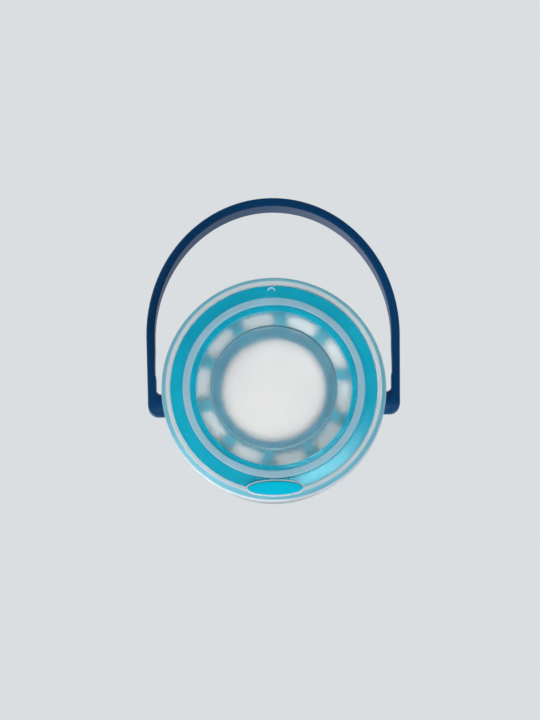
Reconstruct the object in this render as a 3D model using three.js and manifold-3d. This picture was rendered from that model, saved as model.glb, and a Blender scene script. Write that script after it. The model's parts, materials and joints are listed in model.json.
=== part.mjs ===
// Folding water bottle, shown collapsed: a frosted base cup and a frosted shoulder nest around a soft
// turquoise sleeve, a screw cap closes the neck and a bail handle swings on two sockets in the shoulder.
// Millimetres, +Z up, origin at the centre of the underside, handle arch towards +Y.
import * as THREE from 'three';
import { mergeVertices } from 'three/addons/utils/BufferGeometryUtils.js';
import Module from 'manifold-3d';

const wasm = await Module();
wasm.setup();

// ---- Driving sizes ----
const baseOD = 96; // over the rigid base cup
const baseHeight = 12; // rim of the base cup above the table
const pivotZ = 45.6; // handle axis above the table, bottle collapsed
const neckOD = 42; // over the neck thread crests
const neckHeight = 14.5; // shoulder to lip of the neck
const wall = 2; // moulded wall of cup and shoulder
const gap = 0.3; // assembly clearance between any two pieces
const sleeveFold = 4.5; // radial room taken by the folded sleeve
const strap = 3.7; // thickness of the handle strap
const handleReach = 91.2; // handle axis to the outside of the arch
const handleWidth = 15; // width of the strap at the arch
const bossR = 5.15; // radius of the handle pivot boss
const pinR = 2.8; // radius of the handle pivot pin
const lead = 6; // thread lead
const ribs = 24; // grip flutes round the cap
const windows = 10; // openings in the floor frame

// ---- Sizes that follow ----
const baseR = baseOD / 2;
const cupIn = baseR - wall; // bore of the base cup
const lipR = cupIn - 1.3; // bore of the cup's inward lip
const skirtR = lipR - 1.3; // outside of the shoulder skirt
const skirtIn = skirtR - wall;
const beadR = lipR - gap - 0.2; // guide bead round the foot of the skirt
const sleeveR = skirtIn - gap - 0.1;
const sleeveIn = sleeveR - sleeveFold;
const collarR = sleeveIn - gap; // clamp collars stand inside the sleeve
const collarIn = collarR - 1.7;
const floorR = collarIn - gap;
const plateTop = wall + 0.8;
const recess = 0.8; // depth of the two moulded bands under the plate
const footIn = baseR - 12.15; // standing ring
const footOut = baseR - 9.15;
const discR = footIn - 9.25; // raised centre disc
const anchorZ = plateTop + gap;
const clampZ = anchorZ + 2 + gap;
const clampTop = clampZ + 2;
const frameZ = clampTop + gap;
const floorZ = frameZ + 2 + gap;
const skirtZ = clampTop + gap + 0.2;
const sleeveZ = clampTop + gap;
const sleeveTop = pivotZ - bossR - 4;
const flangeZ = sleeveTop + gap;
const ringZ = flangeZ + 1.2 + gap; // underside of the upper clamp flange
const ringTop = ringZ + 1.5;
const ledgeZ = ringTop + gap; // step in the shoulder that the upper clamp meets
const wallTop = pivotZ + bossR - 0.25; // where the skirt turns into the dome
const domeRise = 8;
const domeTop = wallTop + domeRise;
const neckTop = domeTop + neckHeight;
const rootR = neckOD / 2 - 1.2; // neck outside between threads
const boreR = rootR - 2.3;
const capBore = neckOD / 2 + 0.5;
const capR = capBore + 3.7;
const capZ = domeTop + 1.7;
const gasketZ = neckTop + gap;
const linerZ = gasketZ + 1 + gap;
const capIn = linerZ + 1 + gap; // underside of the cap's top
const capTop = capIn + 2.5;
const legIn = baseR + 3.9; // handle legs pass outside the cup
const legOut = legIn + strap;
const seatX = skirtR - 0.8; // floor of the round seat for the pivot boss
const archRise = 61; // outer half height of the arch
const archY = handleReach - archRise;

// ---- Helpers ----
function solid(geometry) {
  const bare = geometry.clone();
  bare.deleteAttribute('normal');
  bare.deleteAttribute('uv');
  const merged = mergeVertices(bare, 1e-4);
  const position = merged.attributes.position;
  const index = merged.index.array;
  const points = Array.from({ length: position.count }, (_, i) => {
    return new THREE.Vector3().fromBufferAttribute(position, i);
  });
  const kept = [];
  let volume = 0;
  for (let i = 0; i < index.length; i += 3) {
    const [a, b, c] = [index[i], index[i + 1], index[i + 2]];
    if (a !== b && b !== c && c !== a) {
      kept.push(a, b, c);
      volume += points[a].dot(new THREE.Vector3().crossVectors(points[b], points[c]));
    }
  }
  if (volume < 0) {
    kept.reverse();
  }
  const mesh = new wasm.Mesh({
    numProp: 3,
    vertProperties: Float32Array.from(position.array),
    triVerts: Uint32Array.from(kept),
  });
  return new wasm.Manifold(mesh);
}

function toGeometry(manifold) {
  const mesh = manifold.getMesh();
  const points = new Float32Array(mesh.numVert * 3);
  for (let i = 0; i < mesh.numVert; i += 1) {
    for (let k = 0; k < 3; k += 1) {
      points[3 * i + k] = mesh.vertProperties[mesh.numProp * i + k];
    }
  }
  const geometry = new THREE.BufferGeometry();
  geometry.setAttribute('position', new THREE.BufferAttribute(points, 3));
  geometry.setIndex(new THREE.BufferAttribute(Uint32Array.from(mesh.triVerts), 1));
  geometry.computeVertexNormals();
  return geometry;
}

// A solid of revolution about Z from [radius, height] pairs.
function turned(profile, segments = 60) {
  const points = profile.map(([r, z]) => new THREE.Vector2(r, z));
  const geometry = new THREE.LatheGeometry(points, segments);
  geometry.rotateX(Math.PI / 2);
  return solid(geometry);
}

function ring(inner, outer, z0, z1, segments = 60) {
  return turned([[inner, z0], [outer, z0], [outer, z1], [inner, z1], [inner, z0]], segments);
}

function extruded(shape, z0, z1, curveSegments = 10) {
  const geometry = new THREE.ExtrudeGeometry(shape, { depth: z1 - z0, bevelEnabled: false, curveSegments });
  geometry.translate(0, 0, z0);
  return solid(geometry);
}

// A cylinder lying along X between two stations, at the handle axis.
function barX(radius, x0, x1, z = 0, segments = 32) {
  const geometry = new THREE.CylinderGeometry(radius, radius, Math.abs(x1 - x0), segments);
  geometry.rotateZ(Math.PI / 2);
  geometry.translate((x0 + x1) / 2, 0, z);
  return solid(geometry);
}

// One helical thread ridge. Its section is drawn as axial offset and radius, then wound round Z.
function threadRidge(baseRadius, crestRadius, z0, startAngle, turns) {
  const section = new THREE.Shape();
  section.moveTo(-1.1, baseRadius);
  section.lineTo(1.1, baseRadius);
  section.lineTo(0.5, crestRadius);
  section.lineTo(-0.5, crestRadius);
  section.closePath();
  const sweep = 2 * Math.PI * turns;
  const steps = Math.round(turns * 24);
  const geometry = new THREE.ExtrudeGeometry(section, { depth: sweep, steps, bevelEnabled: false });
  const position = geometry.attributes.position;
  for (let i = 0; i < position.count; i += 1) {
    const along = position.getZ(i);
    const angle = startAngle + along;
    const fade = Math.min(1, along / 0.35, (sweep - along) / 0.35);
    const radius = baseRadius + (position.getY(i) - baseRadius) * Math.max(0.15, fade);
    const height = z0 + position.getX(i) + (lead * angle) / (2 * Math.PI);
    position.setXYZ(i, radius * Math.cos(angle), radius * Math.sin(angle), height);
  }
  return solid(geometry);
}

// Oval with its long axis along X.
function oval(halfLength, halfHeight, y) {
  return new THREE.Shape().absellipse(0, y, halfLength, halfHeight, 0, 2 * Math.PI, false, 0);
}

// ---- Materials ----
function plastic(color, roughness = 0.45) {
  return new THREE.MeshStandardMaterial({ color, roughness, metalness: 0 });
}
const frosted = () => plastic(0xb4cdd9, 0.5);
const turquoise = () => plastic(0x00a3c4, 0.5);
const teal = () => plastic(0x2f8ea6, 0.5);
const milky = () => plastic(0xe3e4e4, 0.6);
const navy = () => plastic(0x123a62, 0.4);
const clearTeal = () => plastic(0x8cc7d6, 0.4);
const sealWhite = () => plastic(0xe9ecec, 0.7);

function piece(name, manifold, material) {
  const mesh = new THREE.Mesh(toGeometry(manifold), material);
  mesh.name = name;
  return mesh;
}

// ---- Base cup ----
const cupProfile = [
  [0, 0],
  [discR - 0.2, 0],
  [discR + 0.2, recess],
  [footIn - 0.15, recess],
  [footIn + 0.15, 0],
  [footOut - 0.15, 0],
  [footOut + 0.15, recess],
  [lipR - 0.5, recess],
  [lipR - 0.1, 0],
  [baseR - 2.5, 0],
  [baseR - 1.54, 0.19],
  [baseR - 0.73, 0.73],
  [baseR - 0.19, 1.54],
  [baseR, 2.5],
  [baseR, baseHeight - 0.5],
  [baseR - 0.5, baseHeight],
  [lipR + 0.5, baseHeight],
  [lipR, baseHeight - 0.5],
  [lipR, baseHeight - 1.2],
  [cupIn, baseHeight - 2.3],
  [cupIn, plateTop + 1.6],
  [cupIn - 0.5, plateTop + 0.6],
  [cupIn - 1.4, plateTop],
  [0, plateTop],
];
const thumbY = -(baseR - 4.7); // the oval grip mark lies across band and rim
const thumbLength = 11.8;
const thumbHeight = 3.15;
const gateY = baseR - 6.2; // round moulding mark opposite the grip mark
const gate = new THREE.Shape().absarc(0.5, gateY, 1.7, 0, 2 * Math.PI, false);
const cup = turned(cupProfile, 72)
  .add(extruded(oval(thumbLength + 0.8, thumbHeight + 0.55, thumbY), 0, plateTop - 0.5))
  .subtract(extruded(oval(thumbLength, thumbHeight, thumbY), -1, recess + 0.7))
  .subtract(extruded(gate, -1, recess + 0.3));

// ---- Parts held in the base ----
const inlay = extruded(oval(thumbLength - gap, thumbHeight - gap, thumbY), 0.15, recess + 0.4);
const anchor = ring(collarIn - 1.3, lipR - gap, anchorZ, anchorZ + 2);
const lowerClamp = turned([
  [collarIn - 1.5, clampZ],
  [cupIn - gap, clampZ],
  [cupIn - gap, clampTop],
  [collarR, clampTop],
  [collarR, clampTop + 5.6],
  [collarIn, clampTop + 5.6],
  [collarIn, clampTop],
  [collarIn - 1.5, clampTop],
  [collarIn - 1.5, clampZ],
]);

let frame = ring(floorR - 11.9, floorR, frameZ, frameZ + 2, 60);
for (let k = 0; k < windows; k += 1) {
  const middle = (Math.PI / 180) * 6 + (2 * Math.PI * k) / windows;
  const half = Math.PI / windows - (Math.PI / 180) * 6;
  const opening = new THREE.Shape();
  opening.absarc(0, 0, floorR - 1.4, middle - half, middle + half, false);
  opening.absarc(0, 0, floorR - 6.7, middle + half, middle - half, true);
  frame = frame.subtract(extruded(opening, frameZ - 1, frameZ + 3, 3));
}
const floor = turned([[0, floorZ], [floorR, floorZ], [floorR, floorZ + 1.2], [0, floorZ + 1.2]]);

// ---- Sleeve, folded ----
const sleeve = ring(sleeveIn, sleeveR, sleeveZ, sleeveTop);

// ---- Parts held in the shoulder ----
const topFlange = ring(sleeveIn, sleeveR + 0.1, flangeZ, flangeZ + 1.2);
const upperClamp = turned([
  [collarIn, ringZ - 8],
  [collarR, ringZ - 8],
  [collarR, ringZ],
  [sleeveR + 0.1, ringZ],
  [sleeveR + 0.1, ringTop],
  [collarIn, ringTop],
  [collarIn, ringZ - 8],
]);

// ---- Shoulder with neck ----
const shellIn = skirtIn - 1.2;
const domeInner = boreR + 3.5;
const domeOuter = rootR + 2.2;
const outerArc = [];
const innerArc = [];
for (let i = 1; i <= 5; i += 1) {
  const t = (i / 5) * (Math.PI / 2);
  outerArc.push([domeOuter + (skirtR - domeOuter) * Math.cos(t), wallTop + domeRise * Math.sin(t)]);
  innerArc.unshift([domeInner + (shellIn - domeInner) * Math.cos(t), wallTop - wall + domeRise * Math.sin(t)]);
}
const shellProfile = [
  [skirtIn, skirtZ],
  [skirtR, skirtZ],
  [skirtR, skirtZ + 0.7],
  [beadR, skirtZ + 1.2],
  [beadR, skirtZ + 2],
  [skirtR, skirtZ + 2.5],
  [skirtR, wallTop],
  ...outerArc,
  [rootR, domeTop + 1.2],
  [rootR, neckTop - 0.4],
  [rootR - 0.4, neckTop],
  [boreR, neckTop],
  [boreR, domeTop - wall],
  ...innerArc,
  [shellIn, wallTop - wall],
  [shellIn, ledgeZ],
  [skirtIn, ledgeZ],
  [skirtIn, skirtZ],
];
const threadZ = domeTop + 4;
let shell = turned(shellProfile, 60).add(threadRidge(rootR - 0.4, neckOD / 2, threadZ, 0, 1.5));
for (const side of [-1, 1]) {
  shell = shell.add(barX(bossR - 0.15, side * (shellIn - 1.6), side * (shellIn + 0.6), pivotZ));
  shell = shell.subtract(barX(bossR + 0.6, side * seatX, side * (baseR + 10), pivotZ, 40));
  shell = shell.subtract(barX(pinR + gap, side * (seatX - 3), side * (baseR + 10), pivotZ));
}

// ---- Cap ----
const discPocket = capR - 6.6;
let capBody = turned([
  [capBore, capZ],
  [capR - 0.6, capZ],
  [capR, capZ + 0.6],
  [capR, capTop - 1],
  [capR - 1, capTop],
  [discPocket, capTop],
  [discPocket, capTop - 1.1],
  [0, capTop - 1.1],
  [0, capIn],
  [capBore, capIn],
  [capBore, capZ],
]);
for (let k = 0; k < ribs; k += 1) {
  const angle = (2 * Math.PI * (k + 0.5)) / ribs;
  const flute = new THREE.CylinderGeometry(1.5, 1.5, capTop - capZ - 3.6, 8);
  flute.rotateX(Math.PI / 2);
  flute.translate((capR + 0.7) * Math.cos(angle), (capR + 0.7) * Math.sin(angle), (capTop + capZ) / 2);
  capBody = capBody.subtract(solid(flute));
}
const capStart = 1.7;
const capThread = threadRidge(capBore + 0.4, rootR + 0.4, threadZ - 2.6, capStart, 1.25);
capBody = capBody.add(capThread);
const plugR = boreR - gap;
const liner = turned([
  [0, linerZ - 1],
  [plugR - 1.6, linerZ - 1],
  [plugR - 1.6, neckTop - 2.5],
  [plugR - 0.3, neckTop - 2.5],
  [plugR, neckTop - 2],
  [plugR, linerZ],
  [capBore - gap, linerZ],
  [capBore - gap, linerZ + 1],
  [0, linerZ + 1],
]);
const gasket = ring(boreR, capBore - gap, gasketZ, gasketZ + 1);
const capDisc = turned([
  [0, capTop - 1.1 + gap],
  [discPocket - gap, capTop - 1.1 + gap],
  [discPocket - gap, capTop - 0.1],
  [discPocket - gap - 0.3, capTop + 0.2],
  [0, capTop + 0.2],
]);

// ---- Handle, drawn about its own axis and pointing along +Y ----
const footX = legOut - 0.4;
const footInX = footX - strap;
const bossX = seatX + gap;
const bend = bossR - 0.15;
const fillet = 2.5;
const stubX = footInX - fillet;
const outline = new THREE.Shape();
outline.moveTo(stubX, -bossR);
outline.lineTo(footX - bend, -bossR);
outline.absarc(footX - bend, bend - bossR, bend, -Math.PI / 2, 0, false);
outline.lineTo(legOut, archY);
outline.absellipse(0, archY, legOut, archRise, 0, Math.PI, false, 0);
outline.lineTo(-footX, bend - bossR);
outline.absarc(bend - footX, bend - bossR, bend, Math.PI, 1.5 * Math.PI, false);
outline.lineTo(-stubX, -bossR);
outline.lineTo(-stubX, bossR);
outline.absarc(-stubX, bossR + fillet, fillet, 1.5 * Math.PI, Math.PI, true);
outline.lineTo(-legIn, archY);
outline.absellipse(0, archY, legIn, archRise - strap, Math.PI, 0, true, 0);
outline.lineTo(footInX, bossR + fillet);
outline.absarc(stubX, bossR + fillet, fillet, 0, -Math.PI / 2, true);
outline.closePath();
// Seen from the side the strap widens from the boss to the arch.
const taper = new THREE.Shape();
taper.absarc(0, 0, bossR, Math.PI / 2, 1.5 * Math.PI, false);
taper.lineTo(handleReach * 0.62, -handleWidth / 2);
taper.lineTo(handleReach + 2, -handleWidth / 2);
taper.lineTo(handleReach + 2, handleWidth / 2);
taper.lineTo(handleReach * 0.62, handleWidth / 2);
taper.closePath();
const side = new THREE.ExtrudeGeometry(taper, { depth: 2 * legOut + 4, bevelEnabled: false, curveSegments: 10 });
side.translate(0, 0, -legOut - 2);
side.applyMatrix4(
  new THREE.Matrix4().makeBasis(
    new THREE.Vector3(0, 1, 0),
    new THREE.Vector3(0, 0, 1),
    new THREE.Vector3(1, 0, 0),
  ),
);
let bail = extruded(outline, -handleWidth / 2, handleWidth / 2, 16).intersect(solid(side));
for (const end of [-1, 1]) {
  bail = bail.add(barX(bossR, end * bossX, end * (stubX + 1)));
  bail = bail.add(barX(pinR, end * (seatX - 3 + gap), end * (bossX + 1)));
}

// ---- Assembly ----
const group = new THREE.Group();
group.name = 'folding_bottle';
group.add(piece('base_cup', cup, frosted()));
group.add(piece('thumb_inlay', inlay, turquoise()));
group.add(piece('anchor_ring', anchor, turquoise()));
group.add(piece('lower_clamp_ring', lowerClamp, clearTeal()));
group.add(piece('floor_frame', frame, teal()));
group.add(piece('bladder_floor', floor, milky()));
group.add(piece('sleeve', sleeve, turquoise()));

const shoulder = new THREE.Group();
shoulder.name = 'shoulder_group';
shoulder.add(piece('sleeve_top_flange', topFlange, turquoise()));
shoulder.add(piece('upper_clamp_ring', upperClamp, clearTeal()));
shoulder.add(piece('shoulder_shell', shell, frosted()));

const handle = new THREE.Group();
handle.name = 'handle_group';
handle.position.set(0, 0, pivotZ);
handle.add(piece('handle', bail, navy()));
shoulder.add(handle);

const cap = new THREE.Group();
cap.name = 'cap_group';
cap.add(piece('cap_gasket', gasket, sealWhite()));
cap.add(piece('cap_liner', liner, milky()));
cap.add(piece('cap_shell', capBody, navy()));
cap.add(piece('cap_disc', capDisc, turquoise()));
shoulder.add(cap);
group.add(shoulder);

export default group;
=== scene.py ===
"""Folding water bottle, collapsed, seen from below its frosted base.

Lengths in the piece tables are millimetres and become metres as they are drawn.
"""

import json
import math

import bmesh
import bpy
from mathutils import Matrix, Vector


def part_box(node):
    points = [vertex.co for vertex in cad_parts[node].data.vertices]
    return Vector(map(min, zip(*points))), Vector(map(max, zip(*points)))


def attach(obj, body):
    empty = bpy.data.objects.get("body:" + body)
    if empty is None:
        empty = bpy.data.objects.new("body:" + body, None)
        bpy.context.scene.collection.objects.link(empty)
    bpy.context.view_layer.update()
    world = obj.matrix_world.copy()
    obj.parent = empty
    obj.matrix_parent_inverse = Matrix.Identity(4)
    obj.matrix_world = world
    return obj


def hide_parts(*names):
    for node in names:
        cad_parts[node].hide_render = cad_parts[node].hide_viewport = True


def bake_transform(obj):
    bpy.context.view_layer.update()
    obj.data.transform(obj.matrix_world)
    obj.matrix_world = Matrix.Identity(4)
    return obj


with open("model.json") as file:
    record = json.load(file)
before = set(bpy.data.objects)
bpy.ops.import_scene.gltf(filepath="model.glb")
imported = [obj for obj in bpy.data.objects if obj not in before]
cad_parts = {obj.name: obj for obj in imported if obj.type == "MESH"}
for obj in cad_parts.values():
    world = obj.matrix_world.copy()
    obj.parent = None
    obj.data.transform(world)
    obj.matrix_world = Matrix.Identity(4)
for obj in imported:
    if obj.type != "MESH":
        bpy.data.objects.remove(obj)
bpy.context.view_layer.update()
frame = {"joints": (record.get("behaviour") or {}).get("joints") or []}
scene = bpy.context.scene
scene.view_settings.view_transform = "Standard"
MM = 0.001

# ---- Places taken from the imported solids, in millimetres ----


def place(node):
    low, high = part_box(node)
    return Vector(low) / MM, Vector(high) / MM


CUP_HIGH = place("base_cup")[1]
CUP_R = CUP_HIGH.x
CUP_TOP = CUP_HIGH.z
RING_LOW, RING_HIGH = place("anchor_ring")
CLAMP_LOW, CLAMP_HIGH = place("lower_clamp_ring")
FRAME_LOW, FRAME_HIGH = place("floor_frame")
FLOOR_LOW, FLOOR_HIGH = place("bladder_floor")
SLEEVE_LOW, SLEEVE_HIGH = place("sleeve")
FLANGE_LOW, FLANGE_HIGH = place("sleeve_top_flange")
UPPER_LOW, UPPER_HIGH = place("upper_clamp_ring")
SHELL_LOW, SHELL_HIGH = place("shoulder_shell")
CAP_LOW, CAP_HIGH = place("cap_shell")
DISC_LOW, DISC_HIGH = place("cap_disc")
LINER_LOW, LINER_HIGH = place("cap_liner")
GASKET_LOW, GASKET_HIGH = place("cap_gasket")
BAIL_LOW, BAIL_HIGH = place("handle")
PIVOT_Z = 45.6  # height of the handle's axis
SLEEVE_FOLD = 4.5  # depth of the folded sleeve wall
GAP = 0.3  # clearance between neighbouring pieces
LIFT = next(j["range_m"][1] for j in frame["joints"] if j["name"] == "extend") / MM

# ---- Bench tools ----


def clear_selection():
    if bpy.context.object and bpy.context.object.mode != "OBJECT":
        bpy.ops.object.mode_set(mode="OBJECT")
    bpy.ops.object.select_all(action="DESELECT")


def take(piece):
    clear_selection()
    piece.select_set(True)
    bpy.context.view_layer.objects.active = piece
    return piece


def settle(piece):
    """Leaves the piece at the origin, unturned and unscaled, with its place in its mesh."""
    take(piece)
    bpy.ops.object.transform_apply(location=True, rotation=True, scale=True)
    return piece


def recalculate(piece):
    take(piece)
    bpy.ops.object.mode_set(mode="EDIT")
    bpy.ops.mesh.select_all(action="SELECT")
    bpy.ops.mesh.remove_doubles(threshold=1e-6)
    bpy.ops.mesh.normals_make_consistent(inside=False)
    bpy.ops.object.mode_set(mode="OBJECT")
    return piece


def smooth(piece, degrees=35):
    """Smooth shading that keeps flat faces flat right up to their eased edges."""
    take(piece)
    if piece.data.has_custom_normals:
        bpy.ops.mesh.customdata_custom_splitnormals_clear()
    bpy.ops.object.shade_smooth_by_angle(angle=math.radians(degrees))
    return apply_modifier(piece, "WEIGHTED_NORMAL", keep_sharp=True)


def apply_modifier(piece, kind, **settings):
    take(piece)
    modifier = piece.modifiers.new(kind.lower(), kind)
    for key, value in settings.items():
        setattr(modifier, key, value)
    bpy.ops.object.modifier_apply(modifier=modifier.name)
    return piece


def ease_edges(piece, width, segments):
    angle = math.radians(40)
    return apply_modifier(
        piece,
        "BEVEL",
        width=width * MM,
        segments=segments,
        limit_method="ANGLE",
        angle_limit=angle,
    )


def cut(piece, tool, operation="DIFFERENCE"):
    apply_modifier(piece, "BOOLEAN", object=tool, operation=operation, solver="EXACT")
    bpy.data.objects.remove(tool)
    return piece


def close_ends(piece):
    """Fills the open loops left at the ends of a sweep."""
    take(piece)
    bpy.ops.object.mode_set(mode="EDIT")
    bpy.ops.mesh.select_mode(type="EDGE")
    bpy.ops.mesh.select_all(action="DESELECT")
    bpy.ops.mesh.select_non_manifold()
    bpy.ops.mesh.fill_holes(sides=0)
    return recalculate(piece)


def copy_turned(piece, angle):
    """A copy with its own mesh, turned about Z."""
    copy = piece.copy()
    copy.data = piece.data.copy()
    scene.collection.objects.link(copy)
    copy.rotation_euler.z = angle
    return settle(copy)


def rounded(profile, radius, closed=False, steps=3):
    """Eases each corner of a profile with a small arc."""
    eased = []
    count = len(profile)
    for i, point in enumerate(profile):
        here = Vector(point)
        if not closed and i in (0, count - 1):
            eased.append(tuple(here))
            continue
        back = Vector(profile[i - 1]) - here
        ahead = Vector(profile[(i + 1) % count]) - here
        turn = math.pi - back.angle(ahead)
        if turn < math.radians(12):
            eased.append(tuple(here))
            continue
        reach = min(radius, 0.42 * back.length, 0.42 * ahead.length)
        first = here + back.normalized() * reach
        last = here + ahead.normalized() * reach
        for k in range(steps + 1):
            t = k / steps
            eased.append(tuple((1 - t) ** 2 * first + 2 * t * (1 - t) * here + t * t * last))
    return eased


def turned(name, profile, ease=0.2, closed=False, sides=144):
    """A ring is drawn, then extruded and scaled from station to station of the profile."""
    stations = rounded(profile, ease, closed)
    clear_selection()
    r0, z0 = stations[0]
    bpy.ops.mesh.primitive_circle_add(vertices=sides, radius=r0 * MM, location=(0, 0, z0 * MM))
    piece = bpy.context.object
    piece.name = name
    settle(piece)
    bpy.ops.object.mode_set(mode="EDIT")
    bpy.ops.mesh.select_mode(type="VERT")
    bpy.ops.mesh.select_all(action="SELECT")
    for (r, z), (next_r, next_z) in zip(stations, stations[1:]):
        bpy.ops.mesh.extrude_edges_move(
            TRANSFORM_OT_translate={"value": (0, 0, (next_z - z) * MM)}
        )
        bpy.ops.transform.resize(
            value=(next_r / r, next_r / r, 1), center_override=(0, 0, next_z * MM)
        )
    bpy.ops.mesh.select_mode(type="EDGE")
    bpy.ops.mesh.select_all(action="DESELECT")
    bpy.ops.mesh.select_non_manifold()
    if closed:
        bpy.ops.mesh.bridge_edge_loops()
    else:
        bpy.ops.mesh.fill_holes(sides=0)
    bpy.ops.object.mode_set(mode="OBJECT")
    recalculate(piece)
    return smooth(piece)


def spun(name, profile, sides=128):
    """A closed profile with many stations, drawn once and spun round Z."""
    clear_selection()
    bpy.ops.mesh.primitive_circle_add(vertices=len(profile), radius=MM)
    piece = bpy.context.object
    piece.name = name
    for vertex, (r, z) in zip(piece.data.vertices, profile):
        vertex.co = Vector((r, 0, z)) * MM
    apply_modifier(
        piece,
        "SCREW",
        axis="Z",
        steps=sides,
        render_steps=sides,
        use_smooth_shade=True,
        use_merge_vertices=True,
        merge_threshold=1e-6,
    )
    return recalculate(piece)


def lofted(name, sections):
    """A loop is drawn at the first section, then extruded and laid on each section in turn."""
    clear_selection()
    bpy.ops.mesh.primitive_circle_add(vertices=len(sections[0]), radius=MM)
    piece = bpy.context.object
    piece.name = name
    bpy.ops.object.mode_set(mode="EDIT")
    bpy.ops.mesh.select_all(action="SELECT")
    for index, section in enumerate(sections):
        if index:
            bpy.ops.mesh.extrude_edges_move()
        mesh = bmesh.from_edit_mesh(piece.data)
        mesh.verts.ensure_lookup_table()
        loop = mesh.verts[-len(section):]
        for vertex, spot in zip(loop, section):
            vertex.co = Vector(spot) * MM
        bmesh.update_edit_mesh(piece.data)
    close_ends(piece)
    return smooth(piece)


def bar_along_x(radius, x0, x1, z):
    clear_selection()
    bpy.ops.mesh.primitive_cylinder_add(
        vertices=64,
        radius=radius * MM,
        depth=abs(x1 - x0) * MM,
        location=((x0 + x1) / 2 * MM, 0, z * MM),
        rotation=(0, math.pi / 2, 0),
    )
    return settle(bpy.context.object)


def oval_loop(half_length, half_height, y, z, count=72):
    """Oval with its long axis along X."""
    turns = [2 * math.pi * k / count for k in range(count)]
    return [(half_length * math.cos(t), y + half_height * math.sin(t), z) for t in turns]


def thread_section(root, flank, crest):
    """Six corners of a trapezoid thread. The root lies inside the wall it grows from."""
    lower = [(root, -1.0), (flank, -0.95), (crest, -0.45)]
    return lower + [(r, -z) for r, z in reversed(lower)]


def helix(name, section, start_z, start_angle, turns, lead=6.0):
    """A short closed section, swept round Z by a screw."""
    clear_selection()
    bpy.ops.mesh.primitive_circle_add(vertices=len(section), radius=MM)
    piece = bpy.context.object
    piece.name = name
    direction = Vector((math.cos(start_angle), math.sin(start_angle), 0))
    rise = start_z + lead * start_angle / (2 * math.pi)
    for vertex, (r, z) in zip(piece.data.vertices, section):
        vertex.co = (direction * r + Vector((0, 0, z + rise))) * MM
    apply_modifier(
        piece,
        "SCREW",
        axis="Z",
        angle=2 * math.pi * turns,
        screw_offset=lead * turns * MM,
        steps=int(72 * turns),
        render_steps=int(72 * turns),
        use_smooth_shade=True,
        use_merge_vertices=False,
    )
    return close_ends(piece)


# ---- Finishes ----


def wire(tree, source, target):
    tree.links.new(source, target)


def node_of(tree, kind, **inputs):
    made = tree.nodes.new(kind)
    for key, value in inputs.items():
        made.inputs[key.replace("_", " ")].default_value = value
    return made


def math_node(tree, operation, a, b, clamp=False):
    made = tree.nodes.new("ShaderNodeMath")
    made.operation = operation
    made.use_clamp = clamp
    for slot, value in zip(made.inputs, (a, b)):
        if isinstance(value, (int, float)):
            slot.default_value = value
        else:
            wire(tree, value, slot)
    return made.outputs[0]


def build_mould_grain():
    """Fine moulded skin: a soft pebble, a slow flow mottle and a few light scuffs."""
    group = bpy.data.node_groups.new("mould_grain", "ShaderNodeTree")
    face = group.interface
    for name, default in (("Grain Size", 1400.0), ("Scuff Size", 90.0)):
        socket = face.new_socket(name=name, in_out="INPUT", socket_type="NodeSocketFloat")
        socket.default_value = default
    for name in ("Pebble", "Mottle", "Scuffs"):
        face.new_socket(name=name, in_out="OUTPUT", socket_type="NodeSocketFloat")
    entry = group.nodes.new("NodeGroupInput")
    leave = group.nodes.new("NodeGroupOutput")
    coords = group.nodes.new("ShaderNodeTexCoord")
    pebble = node_of(group, "ShaderNodeTexNoise", Detail=3.0, Roughness=0.6)
    wire(group, coords.outputs["Object"], pebble.inputs["Vector"])
    wire(group, entry.outputs["Grain Size"], pebble.inputs["Scale"])
    mottle = node_of(group, "ShaderNodeTexNoise", Scale=38.0, Detail=4.0, Roughness=0.55)
    wire(group, coords.outputs["Object"], mottle.inputs["Vector"])
    stretch = group.nodes.new("ShaderNodeMapping")
    stretch.inputs["Rotation"].default_value = (0.4, 0.3, 0.7)
    stretch.inputs["Scale"].default_value = (1.0, 14.0, 3.0)
    wire(group, coords.outputs["Object"], stretch.inputs["Vector"])
    scuff = node_of(group, "ShaderNodeTexNoise", Detail=5.0, Roughness=0.7)
    wire(group, stretch.outputs[0], scuff.inputs["Vector"])
    wire(group, entry.outputs["Scuff Size"], scuff.inputs["Scale"])
    sharp = node_of(group, "ShaderNodeMapRange")
    sharp.inputs["From Min"].default_value = 0.62
    sharp.inputs["From Max"].default_value = 0.72
    wire(group, scuff.outputs[0], sharp.inputs["Value"])
    wire(group, pebble.outputs[0], leave.inputs["Pebble"])
    wire(group, mottle.outputs[0], leave.inputs["Mottle"])
    wire(group, sharp.outputs[0], leave.inputs["Scuffs"])
    return group


MOULD_GRAIN = build_mould_grain()


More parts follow.
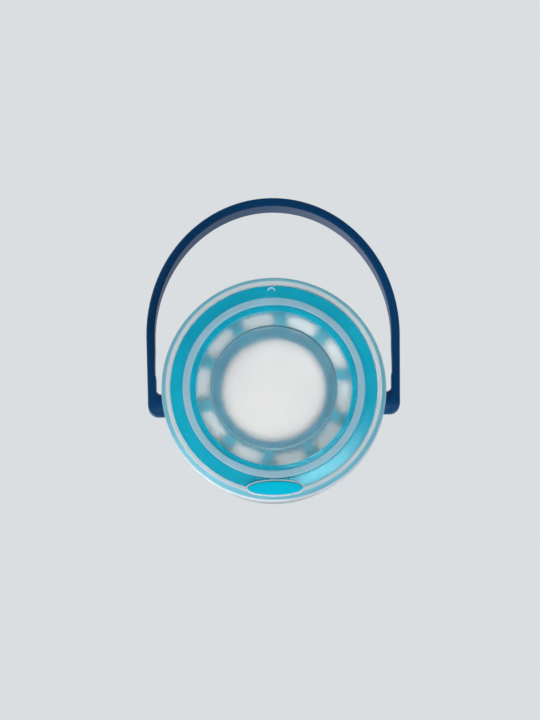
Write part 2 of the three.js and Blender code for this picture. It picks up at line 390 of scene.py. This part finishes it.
def plastic(
    name,
    color,
    deep_color,
    roughness,
    grain=1400.0,
    bump=0.06,
    transmission=0.0,
    lamps=0.0,
    specular=0.5,
    ior=1.47,
    sheen=0.0,
):
    """Moulded plastic or elastomer. lamps is how much lamp light a see-through one passes."""
    material = bpy.data.materials.new(name)
    material.use_nodes = True
    tree = material.node_tree
    shader = tree.nodes["Principled BSDF"]
    shader.inputs["IOR"].default_value = ior
    shader.inputs["Specular IOR Level"].default_value = specular
    shader.inputs["Transmission Weight"].default_value = transmission
    shader.inputs["Sheen Weight"].default_value = sheen
    skin = tree.nodes.new("ShaderNodeGroup")
    skin.node_tree = MOULD_GRAIN
    skin.inputs["Grain Size"].default_value = grain
    tint = tree.nodes.new("ShaderNodeMix")
    tint.data_type = "RGBA"
    tint.inputs[6].default_value = (*deep_color, 1)
    tint.inputs[7].default_value = (*color, 1)
    spread = node_of(tree, "ShaderNodeMapRange")
    spread.inputs["From Min"].default_value = 0.3
    spread.inputs["From Max"].default_value = 0.7
    wire(tree, skin.outputs["Mottle"], spread.inputs["Value"])
    wire(tree, spread.outputs[0], tint.inputs[0])
    wire(tree, tint.outputs[2], shader.inputs["Base Color"])
    worn = math_node(tree, "MULTIPLY", skin.outputs["Scuffs"], 0.10)
    uneven = math_node(tree, "MULTIPLY", skin.outputs["Mottle"], 0.12)
    base = math_node(tree, "ADD", uneven, roughness - 0.06)
    total = math_node(tree, "ADD", base, worn, clamp=True)
    wire(tree, total, shader.inputs["Roughness"])
    relief = tree.nodes.new("ShaderNodeBump")
    relief.inputs["Strength"].default_value = bump
    relief.inputs["Distance"].default_value = 0.0004
    wire(tree, skin.outputs["Pebble"], relief.inputs["Height"])
    wire(tree, relief.outputs[0], shader.inputs["Normal"])
    if lamps:
        light_path = tree.nodes.new("ShaderNodeLightPath")
        clear = tree.nodes.new("ShaderNodeBsdfTransparent")
        clear.inputs[0].default_value = (*[lamps * (0.5 + 0.5 * c) for c in color], 1)
        mix = tree.nodes.new("ShaderNodeMixShader")
        wire(tree, light_path.outputs["Is Shadow Ray"], mix.inputs[0])
        wire(tree, shader.outputs[0], mix.inputs[1])
        wire(tree, clear.outputs[0], mix.inputs[2])
        wire(tree, mix.outputs[0], tree.nodes["Material Output"].inputs["Surface"])
    return material


FROSTED = plastic(
    "frosted_clear", (0.97, 0.975, 0.975), (0.94, 0.95, 0.955), 0.40, grain=1000.0, bump=0.42,
    transmission=0.965, lamps=0.94, ior=1.42,
)
SATIN = plastic(
    "satin_clear", (0.97, 0.985, 0.99), (0.93, 0.965, 0.975), 0.45, grain=1000.0, bump=0.48,
    transmission=0.98, lamps=1.0, ior=1.42,
)
POLISHED = plastic(
    "polished_clear", (0.95, 0.985, 0.99), (0.93, 0.975, 0.985), 0.09, bump=0.02,
    transmission=1.0, lamps=0.97, ior=1.42,
)
ETCHED = plastic(
    "etched_clear", (0.60, 0.78, 0.88), (0.50, 0.69, 0.80), 0.5, bump=0.16,
    transmission=0.4, lamps=0.7, ior=1.42,
)
RIM = plastic(
    "rim_frosted", (0.12, 0.49, 0.64), (0.07, 0.42, 0.58), 0.40, bump=0.12,
    transmission=0.6, lamps=0.8, specular=0.4, ior=1.42,
)
# Pale copy of the clear plastic: a painted highlight, for the bright line under the lip, the edge
# round the grip pocket and the gate mark's upper arc.
PALE_HIGHLIGHT = plastic(
    "painted_highlight_pale", (0.76, 0.84, 0.87), (0.64, 0.75, 0.79), 0.42, bump=0.10,
    transmission=0.35, lamps=0.95, ior=1.42,
)
# Darker copy of the clear plastic: painted shade along the step in the underside.
STEP_PAINTED_SHADE = plastic(
    "step_painted_shade", (0.26, 0.44, 0.52), (0.20, 0.38, 0.46), 0.5, bump=0.10,
    transmission=0.3, lamps=0.7, ior=1.42,
)
TURQUOISE = plastic(
    "turquoise_soft", (0.0, 0.345, 0.475), (0.0, 0.30, 0.425), 0.5, bump=0.05, specular=0.1
)
GRIP_BLUE = plastic(
    "grip_turquoise", (0.0, 0.60, 0.83), (0.0, 0.555, 0.78), 0.5, bump=0.05, specular=0.1
)
SLEEVE_SKIN = plastic(
    "turquoise_sleeve", (0.005, 0.42, 0.60), (0.005, 0.35, 0.53), 0.42, grain=900.0, bump=0.10,
    specular=0.4, sheen=0.1,
)
TEAL = plastic("teal_moulded", (0.005, 0.20, 0.30), (0.005, 0.16, 0.25), 0.45, specular=0.3)
# Lighter copy of the teal: painted light on the frame's spokes and outer rim.
TEAL_PAINTED_LIT = plastic("teal_painted_lit", (0.01, 0.34, 0.46), (0.01, 0.29, 0.40), 0.45, specular=0.3)
MILKY = plastic("milky_soft", (0.765, 0.735, 0.725), (0.725, 0.70, 0.69), 0.55, specular=0.4)
# Lighter copy of the milky plastic: painted light on the floor's underside behind the frame's
# windows.
MILKY_PAINTED_LIT = plastic("milky_painted_lit", (0.91, 0.895, 0.88), (0.86, 0.845, 0.83), 0.55, specular=0.4)
SEAL = plastic("seal_white", (0.82, 0.84, 0.84), (0.76, 0.79, 0.80), 0.6, specular=0.35)
NAVY = plastic(
    "navy_moulded", (0.001, 0.060, 0.186), (0.001, 0.050, 0.158), 0.48, grain=1900.0,
    bump=0.08, specular=0.14,
)
CAP_BLUE = plastic(
    "cap_turquoise", (0.0, 0.42, 0.60), (0.0, 0.37, 0.55), 0.38, bump=0.05, specular=0.4
)


def dress(piece, material, body, slot, *nodes):
    piece.data.materials.clear()
    for one in material if isinstance(material, (list, tuple)) else (material,):
        piece.data.materials.append(one)
    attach(piece, body)
    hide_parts(*nodes)
    return piece


# ---- Base cup ----
# Radii of the underside's rings, outside in, and its heights
CUP_BORE = CUP_R - 2.0
LIP_R = CUP_BORE - 1.3
PLATE_TOP = RING_LOW.z - GAP
FOOT_IN = CUP_R - 12.15
FOOT_OUT = CUP_R - 9.15
STEP_R = FOOT_IN - 9.25
RING_IN = RING_HIGH.x - 11.2
ZONE_R = RING_IN + 0.1  # the satin zone meets the polished one just outside the ring's bore
RECESS = 0.8
# The oval thumb grip, and the small round gate mark opposite it
GRIP_Y = -(CUP_R - 4.7)
GRIP_LENGTH = 11.8
GRIP_HEIGHT = 3.15
GATE_X = 0.5
GATE_Y = CUP_R - 6.2
GATE_R = 1.5


def in_oval(x, y, half_length, half_height, centre_y):
    return (x / half_length) ** 2 + ((y - centre_y) / half_height) ** 2 < 1


def cup_finish(x, y, z, faces_down):
    """Finish of one face of the cup. The underside is zoned in rings, outside in, with painted
    highlights under the lip, round the grip and on the gate mark, and painted shade at the step.
    """
    reach = math.hypot(x, y)
    under = z < 1.0 and faces_down
    grip = in_oval(x, y, GRIP_LENGTH + 0.85, GRIP_HEIGHT + 0.6, GRIP_Y)
    gate = abs(math.hypot(x - GATE_X, y - GATE_Y) - GATE_R) < 0.34 and z < RECESS - 0.24
    # Painted highlight on the rim round the grip pocket.
    if grip and under and z < 0.3:
        return PALE_HIGHLIGHT
    # Painted highlight: the gate ring's upper arc is pale, the rest stays clear.
    if gate and under:
        return PALE_HIGHLIGHT if y > GATE_Y + 0.3 else POLISHED
    if reach > LIP_R - 0.15:
        # Painted highlight along the lip's underside.
        if under and reach < CUP_R - 1.9:
            return PALE_HIGHLIGHT
        return RIM if z < 3.0 else FROSTED
    if reach > FOOT_OUT + 0.05:
        return POLISHED
    if under and reach > FOOT_IN - 0.05:
        return ETCHED
    # Painted shade: the step's sloped face is darker.
    if under and abs(reach - STEP_R) < 0.35:
        return STEP_PAINTED_SHADE
    if reach > ZONE_R:
        return POLISHED
    return SATIN if reach > STEP_R else FROSTED


def make_base_cup():
    cup = turned(
        "base_cup_frosted",
        [
            (6, 0),
            (STEP_R - 0.3, 0),
            (STEP_R + 0.3, RECESS),
            (ZONE_R, RECESS),
            (FOOT_IN - 0.2, RECESS),
            (FOOT_IN + 0.1, 0),
            (FOOT_OUT - 0.1, 0),
            (FOOT_OUT + 0.2, RECESS - 0.2),
            (LIP_R - 0.45, RECESS - 0.2),
            (LIP_R - 0.1, 0.05),
            (CUP_R - 1.95, 0),
            (CUP_R - 1.2, 0.22),
            (CUP_R - 0.6, 0.75),
            (CUP_R - 0.18, 1.5),
            (CUP_R, 2.6),
            (CUP_R, 3.2),
            (CUP_R, CUP_TOP),
            (LIP_R, CUP_TOP),
            (LIP_R, CUP_TOP - 1.2),
            (CUP_BORE, CUP_TOP - 2.3),
            (CUP_BORE, PLATE_TOP + 1.6),
            (CUP_BORE - 0.5, PLATE_TOP + 0.5),
            (CUP_BORE - 1.5, PLATE_TOP),
            (FOOT_OUT + 0.2, PLATE_TOP),
            (ZONE_R, PLATE_TOP),
            (STEP_R, PLATE_TOP),
            (6, PLATE_TOP),
        ],
        ease=0.35,
        sides=180,
    )
    boss = lofted(
        "grip_boss",
        [
            oval_loop(GRIP_LENGTH + 0.6, GRIP_HEIGHT + 0.4, GRIP_Y, 0.0),
            oval_loop(GRIP_LENGTH + 0.8, GRIP_HEIGHT + 0.55, GRIP_Y, 0.2),
            oval_loop(GRIP_LENGTH + 0.8, GRIP_HEIGHT + 0.55, GRIP_Y, PLATE_TOP - 0.5),
        ],
    )
    cut(cup, boss, "UNION")
    pocket = lofted(
        "grip_pocket",
        [
            oval_loop(GRIP_LENGTH, GRIP_HEIGHT, GRIP_Y, -1.0),
            oval_loop(GRIP_LENGTH, GRIP_HEIGHT, GRIP_Y, RECESS + 0.7),
        ],
    )
    cut(cup, pocket)
    clear_selection()
    bpy.ops.mesh.primitive_torus_add(
        major_radius=GATE_R * MM,
        minor_radius=0.3 * MM,
        major_segments=40,
        minor_segments=12,
        location=(GATE_X * MM, GATE_Y * MM, (RECESS - 0.22) * MM),
    )
    cut(cup, settle(bpy.context.object), "UNION")
    recalculate(cup)
    smooth(cup)
    finishes = (FROSTED, SATIN, POLISHED, ETCHED, RIM, PALE_HIGHLIGHT, STEP_PAINTED_SHADE)
    dress(cup, finishes, "base", "frosted_clear", "base_cup")
    for face in cup.data.polygons:
        finish = cup_finish(*(face.center / MM), face.normal.z < -0.2)
        face.material_index = finishes.index(finish)


def make_base_fittings():
    inlay = lofted(
        "thumb_inlay_oval",
        [
            oval_loop(GRIP_LENGTH - 0.9, GRIP_HEIGHT - 0.8, GRIP_Y, 0.15),
            oval_loop(GRIP_LENGTH - 0.5, GRIP_HEIGHT - 0.45, GRIP_Y, 0.24),
            oval_loop(GRIP_LENGTH - 0.3, GRIP_HEIGHT - 0.3, GRIP_Y, 0.45),
            oval_loop(GRIP_LENGTH - 0.3, GRIP_HEIGHT - 0.3, GRIP_Y, 1.2),
        ],
    )
    dress(inlay, GRIP_BLUE, "base", "turquoise_soft", "thumb_inlay")
    ring = turned(
        "anchor_ring_turquoise",
        [
            (RING_IN, RING_LOW.z),
            (FOOT_IN - 0.2, RING_LOW.z),
            (FOOT_IN + 0.3, RING_LOW.z + 0.7),
            (FOOT_OUT - 0.3, RING_LOW.z + 0.7),
            (FOOT_OUT + 0.2, RING_LOW.z),
            (RING_HIGH.x, RING_LOW.z + 0.15),
            (RING_HIGH.x, RING_HIGH.z),
            (RING_IN, RING_HIGH.z),
        ],
        closed=True,
    )
    dress(ring, TURQUOISE, "base", "turquoise_soft", "anchor_ring")
    collar_out = SLEEVE_HIGH.x - SLEEVE_FOLD - GAP
    collar_in = collar_out - 1.7
    clamp = turned(
        "lower_clamp_ring_teal",
        [
            (collar_in - 1.5, CLAMP_LOW.z),
            (CLAMP_HIGH.x, CLAMP_LOW.z),
            (CLAMP_HIGH.x, CLAMP_LOW.z + 2),
            (collar_out, CLAMP_LOW.z + 2),
            (collar_out, CLAMP_HIGH.z),
            (collar_in, CLAMP_HIGH.z),
            (collar_in, CLAMP_LOW.z + 2),
            (collar_in - 1.5, CLAMP_LOW.z + 2),
        ],
        closed=True,
    )
    dress(clamp, TEAL, "base", "teal_hard", "lower_clamp_ring")
    # The floor's underside beyond this radius, seen through the frame's windows, is painted
    # lighter; the station there only splits its faces.
    painted_lit_from = FRAME_HIGH.x - 9.0
    floor = turned(
        "bladder_floor_milky",
        [
            (5, FLOOR_LOW.z),
            (painted_lit_from, FLOOR_LOW.z),
            (FLOOR_HIGH.x, FLOOR_LOW.z),
            (FLOOR_HIGH.x, FLOOR_HIGH.z),
            (FLOOR_HIGH.x - 3, FLOOR_HIGH.z),
            (FLOOR_HIGH.x - 3.6, FLOOR_HIGH.z - 0.25),
            (FLOOR_HIGH.x - 5.2, FLOOR_HIGH.z - 0.25),
            (FLOOR_HIGH.x - 5.8, FLOOR_HIGH.z),
            (5, FLOOR_HIGH.z),
        ],
    )
    dress(floor, (MILKY, MILKY_PAINTED_LIT), "base", "milky_soft", "bladder_floor")
    # Painted light on the underside behind the windows.
    for face in floor.data.polygons:
        x, y, z = face.center / MM
        if math.hypot(x, y) > painted_lit_from and z < FLOOR_LOW.z + 0.05:
            face.material_index = 1


def make_floor_frame():
    """A ring with ten windows between thin spokes."""
    outer = FRAME_HIGH.x
    hub = outer - 11.9
    rib = outer - 7.35
    window_in = outer - 6.9
    window_out = outer - 0.6
    windows = 10
    first_angle = 6
    half = math.radians(13)
    spider = turned(
        "floor_frame_teal",
        [
            (hub, FRAME_LOW.z),
            (rib, FRAME_LOW.z),
            (outer, FRAME_LOW.z),
            (outer, FRAME_HIGH.z),
            (rib, FRAME_HIGH.z),
            (hub, FRAME_HIGH.z),
        ],
        closed=True,
        sides=180,
    )
    clear_selection()
    bpy.ops.mesh.primitive_plane_add(size=MM, location=(0, 0, 0))
    window = bpy.context.object
    corners = [(window_in, -1.0), (window_out, -1.0), (window_out, 3.0), (window_in, 3.0)]
    for vertex, (r, z) in zip([window.data.vertices[i] for i in (0, 1, 3, 2)], corners):
        vertex.co = (r * MM, 0, (FRAME_LOW.z + z) * MM)
    apply_modifier(
        window,
        "SCREW",
        axis="Z",
        angle=2 * half,
        steps=16,
        render_steps=16,
        use_merge_vertices=False,
    )
    recalculate(window)
    close_ends(window)
    centre = sum((v.co for v in window.data.vertices), Vector()) / len(window.data.vertices)
    turn_now = math.atan2(centre.y, centre.x)
    for k in range(windows):
        cut(spider, copy_turned(window, math.radians(first_angle + 360 / windows * k) - turn_now))
    bpy.data.objects.remove(window)
    recalculate(spider)
    ease_edges(spider, 0.3, 2)
    smooth(spider)
    dress(spider, (TEAL, TEAL_PAINTED_LIT), "base", "teal_hard", "floor_frame")
    # Painted light: faces from the windows outward, spokes and outer rim, take the lighter teal.
    for face in spider.data.polygons:
        if math.hypot(face.center.x, face.center.y) / MM > window_in - 0.05:
            face.material_index = 1


# ---- Sleeve ----


def make_sleeve():
    """Modelled pulled out with gentle pleats, then each height is brought down to its place."""
    low, high = SLEEVE_LOW.z, SLEEVE_HIGH.z
    folded = high - low
    full = folded + LIFT
    outer = SLEEVE_HIGH.x - 0.15
    waist = outer - 2.6
    pleats = 11
    wall = 1.1
    per_pleat = 10
    outside = []
    for i in range(pleats * per_pleat + 1):
        t = i / (pleats * per_pleat)
        wave = 0.5 - 0.5 * math.cos(2 * math.pi * pleats * t)
        ends = min(1.0, t / 0.03, (1 - t) / 0.03)
        outside.append((outer - (outer - waist) * wave * ends, low + full * t))
    inside = [(r - wall, z) for r, z in reversed(outside)]
    sleeve = spun("sleeve_folding", outside + inside)
    for vertex in sleeve.data.vertices:
        goal = vertex.co.z / MM - low
        a, b = 0.0, 1.0
        for _ in range(40):
            t = (a + b) / 2
            if folded * t + LIFT * (3 * t * t - 2 * t**3) < goal:
                a = t
            else:
                b = t
        vertex.co.z = (low + folded * (a + b) / 2) * MM
    smooth(sleeve, 80)
    sleeve.data.materials.clear()
    sleeve.data.materials.append(SLEEVE_SKIN)
    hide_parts("sleeve")
    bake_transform(sleeve)


# ---- Shoulder ----
# Skirt and wall radii, then the heights up to the neck, then where the handle's boss sits
SKIRT_R = LIP_R - 1.3
SKIRT_BORE = SKIRT_R - 2.0
SHELL_BORE = SKIRT_BORE - 1.2
BEAD_R = SHELL_HIGH.x
NECK_TOP = SHELL_HIGH.z
DOME_TOP = NECK_TOP - 14.5
WALL_TOP = DOME_TOP - 8.0
NECK_R = 19.8
NECK_BORE = 17.5
SEAT_X = SKIRT_R - 0.8


def arc(centre_r, wide, z, rise, first, last, steps):
    points = []
    for k in range(steps + 1):
        angle = math.radians(first + (last - first) * k / steps)
        points.append((centre_r + (wide - centre_r) * math.cos(angle), z + rise * math.sin(angle)))
    return points


def make_shoulder():
    foot = SHELL_LOW.z
    ledge = UPPER_HIGH.z + GAP
    shell = turned(
        "shoulder_frosted",
        [
            (SKIRT_BORE, foot),
            (SKIRT_R, foot),
            (SKIRT_R, foot + 0.7),
            (BEAD_R, foot + 1.2),
            (BEAD_R, foot + 2.0),
            (SKIRT_R, foot + 2.5),
            *arc(NECK_R + 2.2, SKIRT_R, WALL_TOP, 8.0, 0, 88, 14),
            (NECK_R, DOME_TOP + 1.2),
            (NECK_R, NECK_TOP),
            (NECK_BORE, NECK_TOP),
            (NECK_BORE, DOME_TOP - 2.0),
            *arc(NECK_BORE + 3.5, SHELL_BORE, WALL_TOP - 2.0, 8.0, 88, 0, 14),
            (SHELL_BORE, ledge),
            (SKIRT_BORE, ledge),
        ],
        ease=0.4,
        closed=True,
        sides=160,
    )
    clear_of = CUP_R + 10
    for side in (-1, 1):
        pad = bar_along_x(5.0, side * (SHELL_BORE - 1.6), side * (SHELL_BORE + 0.6), PIVOT_Z)
        cut(shell, pad, "UNION")
        cut(shell, bar_along_x(5.75, side * SEAT_X, side * clear_of, PIVOT_Z))
        cut(shell, bar_along_x(3.1, side * (SEAT_X - 3), side * clear_of, PIVOT_Z))
    thread = helix(
        "neck_thread", thread_section(NECK_R - 0.3, NECK_R + 0.2, 21.0), DOME_TOP + 4, 0.0, 1.5
    )
    cut(shell, thread, "UNION")
    recalculate(shell)
    smooth(shell)
    dress(shell, FROSTED, "shoulder", "frosted_clear", "shoulder_shell")


def make_shoulder_fittings():
    outer = FLANGE_HIGH.x
    inner = outer - 4.6
    flange = turned(
        "sleeve_top_flange_turquoise",
        [
            (inner, FLANGE_LOW.z),
            (outer, FLANGE_LOW.z),
            (outer, FLANGE_HIGH.z),
            (inner, FLANGE_HIGH.z),
        ],
        closed=True,
    )
    dress(flange, TURQUOISE, "shoulder", "turquoise_soft", "sleeve_top_flange")
    ring = turned(
        "upper_clamp_ring_teal",
        [
            (inner - 2.0, UPPER_LOW.z),
            (inner - GAP, UPPER_LOW.z),
            (inner - GAP, UPPER_HIGH.z - 1.5),
            (outer, UPPER_HIGH.z - 1.5),
            (outer, UPPER_HIGH.z),
            (inner - 2.0, UPPER_HIGH.z),
        ],
        closed=True,
    )
    dress(ring, TEAL, "shoulder", "teal_hard", "upper_clamp_ring")


# ---- Cap ----


def make_cap():
    low, top, radius = CAP_LOW.z, CAP_HIGH.z, CAP_HIGH.x
    bore = radius - 3.7
    pocket = DISC_HIGH.x + GAP
    ceiling = LINER_HIGH.z + GAP
    flutes = 24
    cap = turned(
        "cap_shell_navy",
        [
            (4, top - 1.1),
            (pocket, top - 1.1),
            (pocket, top),
            (radius - 1.6, top),
            (radius - 0.5, top - 0.5),
            (radius, top - 1.6),
            (radius, low + 0.7),
            (radius - 0.5, low),
            (bore, low),
            (bore, ceiling),
            (4, ceiling),
        ],
        ease=0.4,
        sides=192,
    )
    clear_selection()
    bpy.ops.mesh.primitive_cylinder_add(
        vertices=20,
        radius=1.5 * MM,
        depth=(top - low - 3.6) * MM,
        location=((radius + 0.7) * MM, 0, (top + low) / 2 * MM),
    )
    flute = settle(bpy.context.object)
    ease_edges(flute, 0.7, 3)
    copies = [copy_turned(flute, 2 * math.pi * (k + 0.5) / flutes) for k in range(flutes)]
    bpy.data.objects.remove(flute)
    clear_selection()
    for copy in copies:
        copy.select_set(True)
    bpy.context.view_layer.objects.active = copies[0]
    bpy.ops.object.join()
    cut(cap, bpy.context.object)
    thread = helix(
        "cap_thread",
        thread_section(bore + 0.3, bore - 0.2, 20.2),
        DOME_TOP + 4 - 2.6,
        1.7,
        1.25,
    )
    cut(cap, thread, "UNION")
    recalculate(cap)
    smooth(cap)
    dress(cap, NAVY, "cap", "navy_hard", "cap_shell")
    disc = turned(
        "cap_disc_turquoise",
        [
            (3, DISC_LOW.z),
            (DISC_HIGH.x, DISC_LOW.z),
            (DISC_HIGH.x, DISC_HIGH.z - 0.3),
            (DISC_HIGH.x - 0.5, DISC_HIGH.z),
            (DISC_HIGH.x - 2.2, DISC_HIGH.z),
            (DISC_HIGH.x - 2.8, DISC_HIGH.z - 0.35),
            (3, DISC_HIGH.z - 0.35),
        ],
    )
    dress(disc, CAP_BLUE, "cap", "turquoise_hard", "cap_disc")


def make_cap_seal():
    plug = NECK_BORE - GAP
    rim = LINER_HIGH.x
    plate = LINER_HIGH.z - 1
    liner = turned(
        "cap_liner_milky",
        [
            (4, plate - 1),
            (plug - 1.6, plate - 1),
            (plug - 1.6, LINER_LOW.z),
            (plug - 0.3, LINER_LOW.z),
            (plug, LINER_LOW.z + 0.5),
            (plug, plate),
            (rim, plate),
            (rim, plate + 1),
            (4, plate + 1),
        ],
    )
    dress(liner, MILKY, "cap_seal", "milky_hard", "cap_liner")
    gasket = turned(
        "cap_gasket_white",
        [
            (NECK_BORE, GASKET_LOW.z),
            (rim, GASKET_LOW.z),
            (rim, GASKET_HIGH.z),
            (NECK_BORE, GASKET_HIGH.z),
        ],
        ease=0.35,
        closed=True,
    )
    dress(gasket, SEAL, "cap_seal", "seal_white", "cap_gasket")


# ---- Bail handle ----


def strap_section(outer, inner, half_width, corner, per_corner=6):
    """Rounded section across the strap between an outer and an inner point of its edge."""
    outer, inner = Vector((*outer, 0)), Vector((*inner, 0))
    middle = (outer + inner) / 2
    across = (outer - inner) / 2
    half = across.length
    across.normalize()
    corner = min(corner, half * 0.999, half_width * 0.999)
    loop = []
    for quarter in range(4):
        sx = (1, -1, -1, 1)[quarter]
        sz = (1, 1, -1, -1)[quarter]
        for k in range(per_corner):
            angle = math.radians(90 * quarter + 90 * k / (per_corner - 1))
            u = sx * (half - corner) + corner * math.cos(angle)
            v = sz * (half_width - corner) + corner * math.sin(angle)
            spot = middle + across * u
            loop.append((spot.x, spot.y, PIVOT_Z + v))
    return loop


def make_handle():
    leg_out = BAIL_HIGH.x
    strap = 3.7
    leg_in = leg_out - strap
    foot_out = leg_out - 0.4
    foot_in = foot_out - strap
    reach = BAIL_HIGH.y
    rise = 61.0
    arch_y = reach - rise
    boss = 5.15
    wide = (BAIL_HIGH.z - BAIL_LOW.z) / 2
    boss_x = SEAT_X + GAP
    pin_end = SEAT_X - 2.7
    bend = 5.0
    fillet = 1.7

    def width_at(y):
        t = max(0.0, min(1.0, y / (0.62 * reach)))
        return boss + (wide - boss) * t

    # Each section is (outer point, inner point, half width, corner radius), from pin to crown.
    half = []
    for x, r in (
        (pin_end, 2.2),
        (pin_end + 0.6, 2.8),
        (boss_x, 2.8),
        (boss_x, 4.75),
        (boss_x + 0.4, boss),
        (46.5, boss),
    ):
        half.append(((x, -r), (x, r), r, r))
    for k in range(9):
        angle = math.radians(-90 + 90 * k / 8)
        outer = (foot_out - bend + bend * math.cos(angle), bend - boss + bend * math.sin(angle))
        inner = (
            foot_in - fillet + fillet * math.cos(angle),
            boss + fillet + fillet * math.sin(angle),
        )
        half.append((outer, inner, boss, boss + (1.6 - boss) * (k / 8) ** 0.8))
    for y_out, y_in, x_out, x_in, corner in (
        (3.2, 8.8, foot_out, foot_in, 1.3),
        (6.6, 10.2, foot_out + 0.05, foot_in, 1.1),
        (9.8, 11.6, foot_out + 0.1, foot_in + 0.05, 0.9),
        (12.2, 12.5, foot_out + 0.13, foot_in + 0.07, 0.8),
        (12.9, 12.9, foot_out + 0.14, foot_in + 0.45, 0.8),
        (18.0, 18.0, foot_out + 0.22, foot_in + 0.5, 0.8),
        (25.0, 25.0, foot_out + 0.32, leg_in - 0.05, 0.8),
    ):
        half.append(((x_out, y_out), (x_in, y_in), width_at((y_out + y_in) / 2), corner))
    arch_steps = 40
    for k in range(arch_steps + 1):
        angle = math.pi / 2 * k / arch_steps
        outer = (leg_out * math.cos(angle), arch_y + rise * math.sin(angle))
        inner = (leg_in * math.cos(angle), arch_y + (rise - strap) * math.sin(angle))
        half.append((outer, inner, width_at(outer[1]), 0.8))
    other = [((-o[0], o[1]), (-i[0], i[1]), w, c) for o, i, w, c in reversed(half[:-1])]
    bail = lofted("handle_bail", [strap_section(*section) for section in half + other])
    dress(bail, NAVY, "handle", "navy_hard", "handle")


# ---- Floor, light and camera ----


def make_stage():
    """The floor shows from above only, so that the base can be seen from below."""
    clear_selection()
    bpy.ops.mesh.primitive_plane_add(size=60, location=(0, 0, -0.0003))
    floor = bpy.context.object
    floor.name = "floor"
    material = bpy.data.materials.new("floor_pale")
    material.use_nodes = True
    tree = material.node_tree
    shader = tree.nodes["Principled BSDF"]
    shader.inputs["Base Color"].default_value = (0.87, 0.89, 0.91, 1)
    shader.inputs["Roughness"].default_value = 0.9
    shader.inputs["Specular IOR Level"].default_value = 0.1
    side = tree.nodes.new("ShaderNodeNewGeometry")
    light_path = tree.nodes.new("ShaderNodeLightPath")
    above = math_node(tree, "SUBTRACT", 1.0, side.outputs["Backfacing"])
    seen = math_node(tree, "MULTIPLY", above, light_path.outputs["Is Camera Ray"])
    clear = tree.nodes.new("ShaderNodeBsdfTransparent")
    mix = tree.nodes.new("ShaderNodeMixShader")
    wire(tree, seen, mix.inputs[0])
    wire(tree, clear.outputs[0], mix.inputs[1])
    wire(tree, shader.outputs[0], mix.inputs[2])
    wire(tree, mix.outputs[0], tree.nodes["Material Output"].inputs["Surface"])
    floor.data.materials.append(material)

    # The surroundings are pale except straight below, where the polished bands would mirror them.
    world = bpy.data.worlds.new("studio")
    scene.world = world
    world.use_nodes = True
    tree = world.node_tree
    coords = tree.nodes.new("ShaderNodeTexCoord")
    parts = tree.nodes.new("ShaderNodeSeparateXYZ")
    wire(tree, coords.outputs["Generated"], parts.inputs[0])
    height = node_of(tree, "ShaderNodeMapRange")
    height.inputs["From Min"].default_value = -0.5
    height.inputs["From Max"].default_value = -0.1
    wire(tree, parts.outputs["Z"], height.inputs["Value"])
    sky = tree.nodes.new("ShaderNodeMix")
    sky.data_type = "RGBA"
    sky.inputs[6].default_value = (0.02, 0.021, 0.022, 1)
    sky.inputs[7].default_value = (0.701, 0.730, 0.752, 1)
    wire(tree, height.outputs[0], sky.inputs[0])
    wire(tree, sky.outputs[2], tree.nodes["Background"].inputs[0])


def lamp(name, spot, aim, size, power, color=(1, 1, 1)):
    data = bpy.data.lights.new(name, "AREA")
    data.shape = "DISK"
    data.size = size
    data.energy = power
    data.color = color
    made = bpy.data.objects.new(name, data)
    scene.collection.objects.link(made)
    made.location = spot
    made.rotation_euler = (Vector(aim) - Vector(spot)).to_track_quat("-Z", "Y").to_euler()


def make_lights():
    """Soft lamps below and above, a small one for the glare, and a broad sky for the floor."""
    lamp("key_below", (-0.55, -0.62, -1.0), (0, 0, 0.01), 0.7, 4.1)
    lamp("near_below", (-0.04, -0.34, -0.26), (0, 0, 0.01), 0.16, 0.85)
    lamp("fill_below", (0.85, 0.35, -0.9), (0, 0, 0.01), 0.8, 5.8)
    lamp("glare_below", (-0.046, 0.128, -1.19), (0, 0, 0), 0.05, 0.11, (0.62, 1.0, 0.95))
    lamp("soft_above", (0.9, -0.9, 1.3), (0, 0, 0.04), 0.9, 5.0)
    lamp("fill_above", (-1.1, 0.5, 1.0), (0, 0, 0.04), 0.9, 2.5)
    data = bpy.data.lights.new("sky_soft", "SUN")
    data.energy = 0.22
    data.angle = math.radians(50)
    sky = bpy.data.objects.new("sky_soft", data)
    scene.collection.objects.link(sky)
    sky.rotation_euler = (math.radians(9), math.radians(24), 0)


def make_camera():
    """Below the base, looking up at it, with the handle's arch pointing up in the view."""
    distance = 1.5
    aim_right = -0.00166
    aim_up = 0.01158
    tilt = math.radians(10.0)
    roll = math.radians(0.8)
    forward = Vector((0, math.sin(tilt), math.cos(tilt)))
    flat_right = Vector((-1, 0, 0))
    flat_up = Vector((0, math.cos(tilt), -math.sin(tilt)))
    right = flat_right * math.cos(roll) - flat_up * math.sin(roll)
    up = flat_up * math.cos(roll) + flat_right * math.sin(roll)
    data = bpy.data.cameras.new("camera")
    data.lens = 176.1
    data.sensor_width = 36
    camera = bpy.data.objects.new("camera", data)
    scene.collection.objects.link(camera)
    basis = Matrix((right, up, -forward)).transposed().to_4x4()
    basis.translation = -distance * forward + aim_right * right + aim_up * up
    camera.matrix_world = basis
    scene.camera = camera


make_camera()
make_base_cup()
make_base_fittings()
make_floor_frame()
make_sleeve()
make_shoulder()
make_shoulder_fittings()
make_cap()
make_cap_seal()
make_handle()
make_stage()
make_lights()
